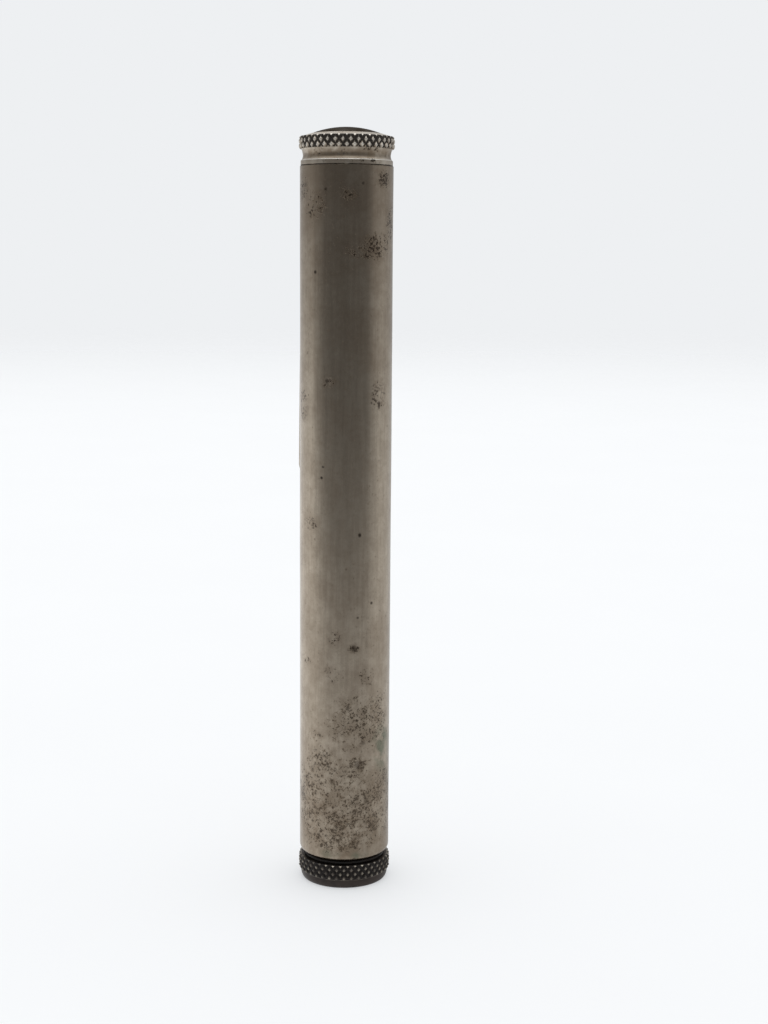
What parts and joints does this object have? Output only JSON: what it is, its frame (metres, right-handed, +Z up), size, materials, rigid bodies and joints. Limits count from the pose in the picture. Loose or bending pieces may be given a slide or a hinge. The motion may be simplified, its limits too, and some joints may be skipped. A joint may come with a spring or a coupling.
{
  "type": "needle case",
  "caption": "Slim cylindrical needle case: plated metal tube closed by a knurled screw cap with a domed top and a knurled screw plug as its foot.",
  "frame": {"origin": "middle of the foot's flat underside, on the surface the case stands on", "axes": "+Z up along the tube, from the foot to the domed cap; the case is round, so X and Y are free"},
  "size_m": [0.013, 0.013, 0.1054],
  "materials": {
    "nickel_plate": "aged nickel plate on brass, satin, spotted brown where the plate has gone",
    "dark_plate": "dark tarnished plate, half gloss",
    "dark_patina": "brown-black patina on brass, worn lighter on the knurling's points",
    "bare_brass": "turned brass, dull",
    "cork": "fine-grained cork",
    "washer_leather": "waxed leather, almost black",
    "felt": "pressed wool felt"
  },
  "bodies": {
    "barrel": {"barrel_tube": "nickel_plate", "neck_collar": "bare_brass", "base_bush": "bare_brass"},
    "cap_disc": {"cap_liner": "cork"},
    "cap": {"cap_shell": "nickel_plate", "cap_crown": "dark_plate"},
    "base_ring": {"base_washer": "washer_leather"},
    "base": {"base_plug": "dark_patina", "base_cushion": "felt"}
  },
  "joints": [
    {"name": "cap_rise", "type": "slide", "parent": "barrel", "child": "cap_disc", "axis": [0, 0, 1], "range_m": [0, 0.00976]},
    {"name": "cap_turn", "type": "hinge", "parent": "cap_disc", "child": "cap", "pos_m": [0, 0, 0.10015], "axis": [0, 0, 1], "range_deg": [0, 3600]},
    {"name": "base_drop", "type": "slide", "parent": "barrel", "child": "base_ring", "axis": [0, 0, -1], "range_m": [0, 0.00781]},
    {"name": "base_turn", "type": "hinge", "parent": "base_ring", "child": "base", "pos_m": [0, 0, 0.00385], "axis": [0, 0, -1], "range_deg": [0, 2880]}
  ],
  "couplings": [
    {"joint": "cap_turn", "follows": "cap_rise", "rad_per_m": 6431.6},
    {"joint": "base_turn", "follows": "base_drop", "rad_per_m": 6431.6}
  ]
}
